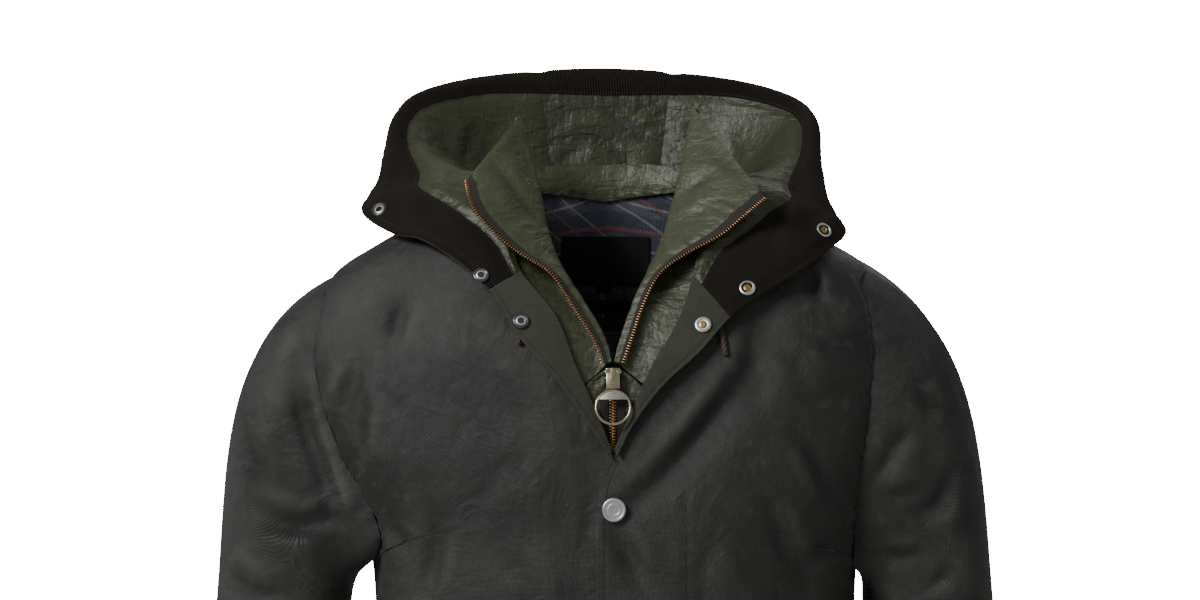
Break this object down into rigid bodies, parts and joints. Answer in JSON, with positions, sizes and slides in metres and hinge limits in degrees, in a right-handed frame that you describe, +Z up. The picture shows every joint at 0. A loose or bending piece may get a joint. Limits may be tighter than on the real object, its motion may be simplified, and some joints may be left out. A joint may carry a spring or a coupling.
{
  "type": "hooded waxed cotton jacket",
  "caption": "Hip-length waxed cotton jacket in its worn, hollow form: turned-down lined hood, turned-out zipped collar, stud-fastened flap and set-in sleeves.",
  "frame": {"origin": "where the wearer's shoulders carry the jacket, on the middle plane at the height of the shoulder tops", "axes": "+Z up, +Y to the jacket's back, +X to the wearer's left"},
  "size_m": [0.753, 0.3304, 0.8664],
  "materials": {
    "wax_cloth": "waxed cotton, olive black with a dull wax sheen",
    "facing_cloth": "matte olive cotton facing",
    "corduroy": "fine black-brown corduroy",
    "nylon": "quilted olive nylon with a soft shine",
    "check_lining": "woven check in charcoal, slate blue, grey and dull red",
    "zip_tape": "dark brown woven zip tape",
    "zip_teeth": "copper-toned brass teeth",
    "pull_metal": "pale antique brass, worn bright on its edges",
    "stud_metal": "dull nickel",
    "label_cloth": "bare black woven label",
    "drawcord": "dark brown braided cord"
  },
  "bodies": {
    "jacket": {"back_neck_lining": "check_lining", "back": "wax_cloth", "front_left": "wax_cloth", "sleeve_left": "wax_cloth", "lapel_left": "wax_cloth", "facing_left": "facing_cloth", "hood_left": "wax_cloth", "hood_band_left": "corduroy", "hood_lining_left": "nylon", "collar_left": "nylon", "zip_tape_left": "zip_tape", "zip_chain_left": "zip_teeth", "placket_left": "nylon", "snap_left_1": "stud_metal", "snap_left_2": "stud_metal", "snap_left_3": "stud_metal", "drawcord_left": "drawcord", "front_right": "wax_cloth", "sleeve_right": "wax_cloth", "lapel_right": "wax_cloth", "facing_right": "facing_cloth", "hood_right": "wax_cloth", "hood_band_right": "corduroy", "hood_lining_right": "nylon", "collar_right": "nylon", "zip_tape_right": "zip_tape", "zip_chain_right": "zip_teeth", "placket_right": "nylon", "snap_right_1": "stud_metal", "snap_right_2": "stud_metal", "snap_right_3": "stud_metal", "drawcord_right": "drawcord", "hood_centre": "wax_cloth", "hood_band_centre": "corduroy", "hood_lining_centre": "nylon", "collar_back": "nylon", "neck_label": "label_cloth", "size_tab": "label_cloth", "hanger_loop": "label_cloth", "zip_chain_closed": "zip_teeth", "zip_slider": "pull_metal", "stud_1": "stud_metal", "stud_2": "stud_metal", "stud_3": "stud_metal", "stud_4": "stud_metal"},
    "pull": {"pull_link": "pull_metal", "pull_ring": "pull_metal"}
  },
  "joints": [
    {"name": "pull_hinge", "type": "hinge", "parent": "jacket", "child": "pull", "pos_m": [0.0066, -0.1229, -0.1801], "axis": [-1, 0, 0], "range_deg": [0, 150]}
  ]
}
